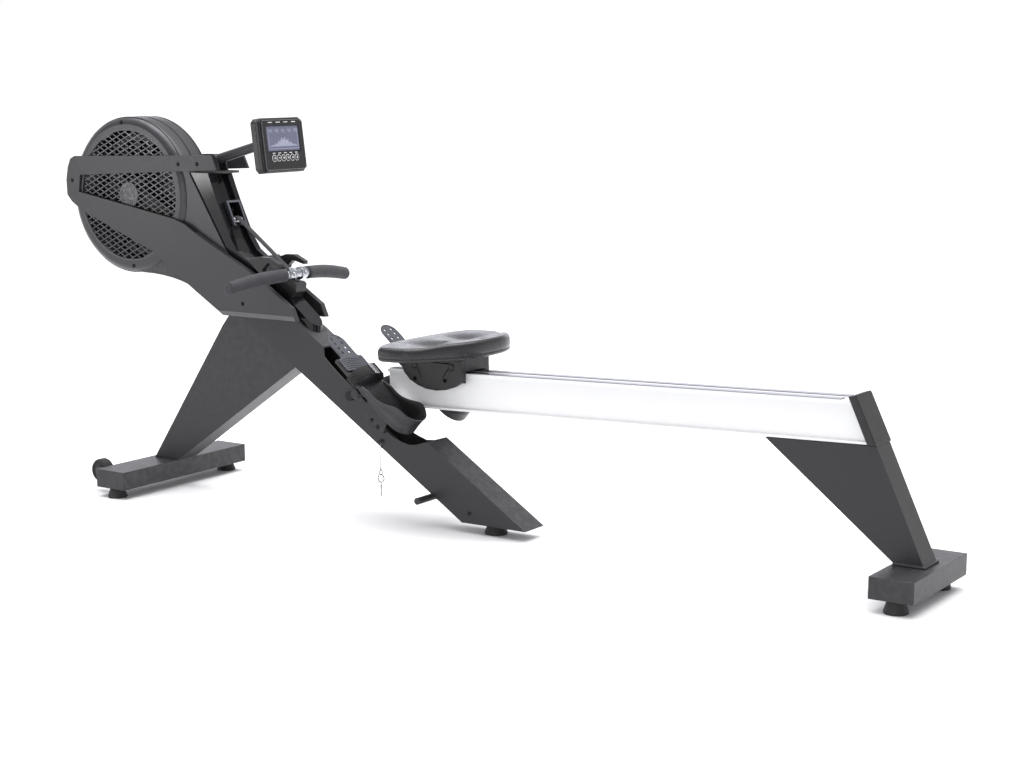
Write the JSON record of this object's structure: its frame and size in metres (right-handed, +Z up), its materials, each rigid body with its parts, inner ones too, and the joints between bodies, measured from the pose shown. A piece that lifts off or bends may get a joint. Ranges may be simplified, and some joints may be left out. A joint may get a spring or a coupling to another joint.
{
  "type": "rowing machine",
  "caption": "Air rowing machine: caged flywheel with a pull handle and console, pivoting foot plates, and a folding rail that carries a rolling seat.",
  "frame": {"origin": "on the floor, under the middle of the overall length and width", "axes": "+X from the flywheel towards the rear foot, +Z up, +Y towards the right hand of a rower who sits facing the flywheel"},
  "size_m": [2.49, 0.476, 0.9904],
  "materials": {
    "frame_paint": "satin charcoal powder coat",
    "cover_plastic": "satin graphite moulding",
    "tower_gloss": "piano black",
    "black_rubber": "moulded rubber",
    "grip_foam": "foam grip",
    "bright_steel": "turned steel",
    "clamp_chrome": "polished",
    "rail_aluminium": "satin anodised",
    "grille_steel": "black mesh",
    "bezel_metal": "satin",
    "console_shell": "fine texture",
    "screen_glass": "liquid crystal display",
    "key_plastic": "printed keys",
    "pedal_plastic": "textured",
    "toe_plastic": "ribbed",
    "strap_webbing": "woven nylon",
    "seat_vinyl": "moulded seat skin",
    "roller_nylon": "nylon",
    "drive_plastic": "moulded",
    "screw_black": "black oxide"
  },
  "bodies": {
    "root": {"main_beam": "frame_paint", "front_leg": "frame_paint", "front_stabilizer": "frame_paint", "front_feet": "black_rubber", "flywheel_fork": "frame_paint", "drive_axles": "bright_steel", "drum_shell_left": "cover_plastic", "drum_shell_right": "cover_plastic", "fan_grilles": "grille_steel", "side_cover_left": "cover_plastic", "side_cover_right": "cover_plastic", "tower_cover": "tower_gloss", "fairlead_bezel": "bezel_metal", "pod_cover": "tower_gloss", "handle_cradle": "console_shell", "console_bracket": "frame_paint", "drive_belt": "black_rubber", "pedal_brackets": "frame_paint", "cover_screws": "screw_black", "frame_bolts": "bright_steel", "pull_strap": "strap_webbing"},
    "transport_wheel_left": {"transport_wheel_left": "black_rubber"},
    "transport_wheel_right": {"transport_wheel_right": "black_rubber"},
    "flywheel": {"flywheel": "bright_steel", "flywheel_bearings": "bright_steel"},
    "drive_pulley": {"drive_pulley": "drive_plastic"},
    "strap_reel": {"strap_reel": "drive_plastic"},
    "guide_roller": {"guide_roller": "bright_steel"},
    "handle": {"handle_bar": "bright_steel", "handle_grips": "grip_foam", "handle_clamp": "clamp_chrome"},
    "console_arm": {"console_arm": "frame_paint"},
    "console": {"console_back": "console_shell", "console_front": "console_shell", "console_screen": "screen_glass"},
    "console_key_1": {"console_key_1": "key_plastic"},
    "console_key_2": {"console_key_2": "key_plastic"},
    "console_key_3": {"console_key_3": "key_plastic"},
    "console_key_4": {"console_key_4": "key_plastic"},
    "console_key_5": {"console_key_5": "key_plastic"},
    "console_key_6": {"console_key_6": "key_plastic"},
    "left_pedal": {"left_pedal": "pedal_plastic", "left_foot_strap": "strap_webbing"},
    "left_toe_slider": {"left_toe_slider": "toe_plastic"},
    "right_pedal": {"right_pedal": "pedal_plastic", "right_foot_strap": "strap_webbing"},
    "right_toe_slider": {"right_toe_slider": "toe_plastic"},
    "rail": {"rail_body": "rail_aluminium", "rail_tracks": "bright_steel", "rail_tongue": "frame_paint", "rail_end_cap": "console_shell", "rear_leg": "frame_paint", "rear_stabilizer": "frame_paint", "rear_feet": "black_rubber"},
    "seat": {"seat_cushion": "seat_vinyl", "seat_base": "frame_paint", "carriage_covers": "console_shell"},
    "seat_rollers_front": {"seat_rollers_front": "roller_nylon"},
    "seat_rollers_rear": {"seat_rollers_rear": "roller_nylon"},
    "lanyard": {"lanyard": "bright_steel"}
  },
  "joints": [
    {"name": "rail_fold", "type": "hinge", "parent": "root", "child": "rail", "pos_m": [-0.296, 0, 0.306], "axis": [0, -1, 0], "range_deg": [0, 65]},
    {"name": "seat_slide", "type": "slide", "parent": "rail", "child": "seat", "axis": [0.9996, 0, 0.0297], "range_m": [0, 0.965]},
    {"name": "seat_rollers_front_spin", "type": "hinge", "parent": "seat", "child": "seat_rollers_front", "pos_m": [-0.08322, 0, 0.40488], "axis": [0, 1, 0], "range_deg": [-10, 3800]},
    {"name": "seat_rollers_rear_spin", "type": "hinge", "parent": "seat", "child": "seat_rollers_rear", "pos_m": [0.02673, 0, 0.40814], "axis": [0, 1, 0], "range_deg": [-10, 3800]},
    {"name": "handle_pull", "type": "slide", "parent": "root", "child": "handle", "axis": [0.9925, 0, 0.1222], "range_m": [0, 1.1], "stiffness_N_per_m": 15, "springref_m": -0.5, "deforming": ["pull_strap"]},
    {"name": "strap_reel_spin", "type": "hinge", "parent": "root", "child": "strap_reel", "pos_m": [-0.77, 0, 0.655], "axis": [0, 1, 0], "range_deg": [-10, 1800]},
    {"name": "guide_roller_spin", "type": "hinge", "parent": "root", "child": "guide_roller", "pos_m": [-0.6962, 0, 0.7244], "axis": [0, 1, 0], "range_deg": [-10, 6400]},
    {"name": "flywheel_spin", "type": "hinge", "parent": "root", "child": "flywheel", "pos_m": [-1.025, 0, 0.781], "axis": [0, 1, 0], "continuous": true},
    {"name": "drive_pulley_spin", "type": "hinge", "parent": "root", "child": "drive_pulley", "pos_m": [-0.77, 0, 0.655], "axis": [0, 1, 0], "continuous": true},
    {"name": "console_arm_lift", "type": "hinge", "parent": "root", "child": "console_arm", "pos_m": [-0.757, 0, 0.88], "axis": [0, -1, 0], "range_deg": [-8, 35]},
    {"name": "console_tilt", "type": "hinge", "parent": "console_arm", "child": "console", "pos_m": [-0.57951, 0, 0.92766], "axis": [0, 1, 0], "range_deg": [-20, 20]},
    {"name": "console_key_1_press", "type": "slide", "parent": "console", "child": "console_key_1", "axis": [-0.9917, 0, -0.1288], "range_m": [0, 0.001], "stiffness_N_per_m": 300},
    {"name": "console_key_2_press", "type": "slide", "parent": "console", "child": "console_key_2", "axis": [-0.9917, 0, -0.1288], "range_m": [0, 0.001], "stiffness_N_per_m": 300},
    {"name": "console_key_3_press", "type": "slide", "parent": "console", "child": "console_key_3", "axis": [-0.9917, 0, -0.1288], "range_m": [0, 0.001], "stiffness_N_per_m": 300},
    {"name": "console_key_4_press", "type": "slide", "parent": "console", "child": "console_key_4", "axis": [-0.9917, 0, -0.1288], "range_m": [0, 0.001], "stiffness_N_per_m": 300},
    {"name": "console_key_5_press", "type": "slide", "parent": "console", "child": "console_key_5", "axis": [-0.9917, 0, -0.1288], "range_m": [0, 0.001], "stiffness_N_per_m": 300},
    {"name": "console_key_6_press", "type": "slide", "parent": "console", "child": "console_key_6", "axis": [-0.9917, 0, -0.1288], "range_m": [0, 0.001], "stiffness_N_per_m": 300},
    {"name": "left_pedal_tilt", "type": "hinge", "parent": "root", "child": "left_pedal", "pos_m": [-0.196, -0.108, 0.336], "axis": [0, 1, 0], "range_deg": [-25, 0]},
    {"name": "left_toe_adjust", "type": "slide", "parent": "left_pedal", "child": "left_toe_slider", "axis": [-0.7581, 0, 0.6521], "range_m": [0, 0.04]},
    {"name": "right_pedal_tilt", "type": "hinge", "parent": "root", "child": "right_pedal", "pos_m": [-0.196, 0.108, 0.336], "axis": [0, 1, 0], "range_deg": [-25, 0]},
    {"name": "right_toe_adjust", "type": "slide", "parent": "right_pedal", "child": "right_toe_slider", "axis": [-0.7581, 0, 0.6521], "range_m": [0, 0.04]},
    {"name": "transport_wheel_left_spin", "type": "hinge", "parent": "root", "child": "transport_wheel_left", "pos_m": [-1.027, -0.18, 0.057], "axis": [0, 1, 0], "continuous": true},
    {"name": "transport_wheel_right_spin", "type": "hinge", "parent": "root", "child": "transport_wheel_right", "pos_m": [-1.027, 0.18, 0.057], "axis": [0, 1, 0], "continuous": true},
    {"name": "lanyard_swing", "type": "hinge", "parent": "root", "child": "lanyard", "pos_m": [-0.2, -0.0445, 0.201], "axis": [0, 1, 0], "range_deg": [-60, 60]}
  ],
  "couplings": [
    {"joint": "seat_rollers_front_spin", "follows": "seat_slide", "rad_per_m": 66.667},
    {"joint": "seat_rollers_rear_spin", "follows": "seat_slide", "rad_per_m": 66.667},
    {"joint": "strap_reel_spin", "follows": "handle_pull", "rad_per_m": 28.2},
    {"joint": "guide_roller_spin", "follows": "handle_pull", "rad_per_m": 99},
    {"joint": "drive_pulley_spin", "follows": "flywheel_spin", "ratio": 0.35}
  ]
}
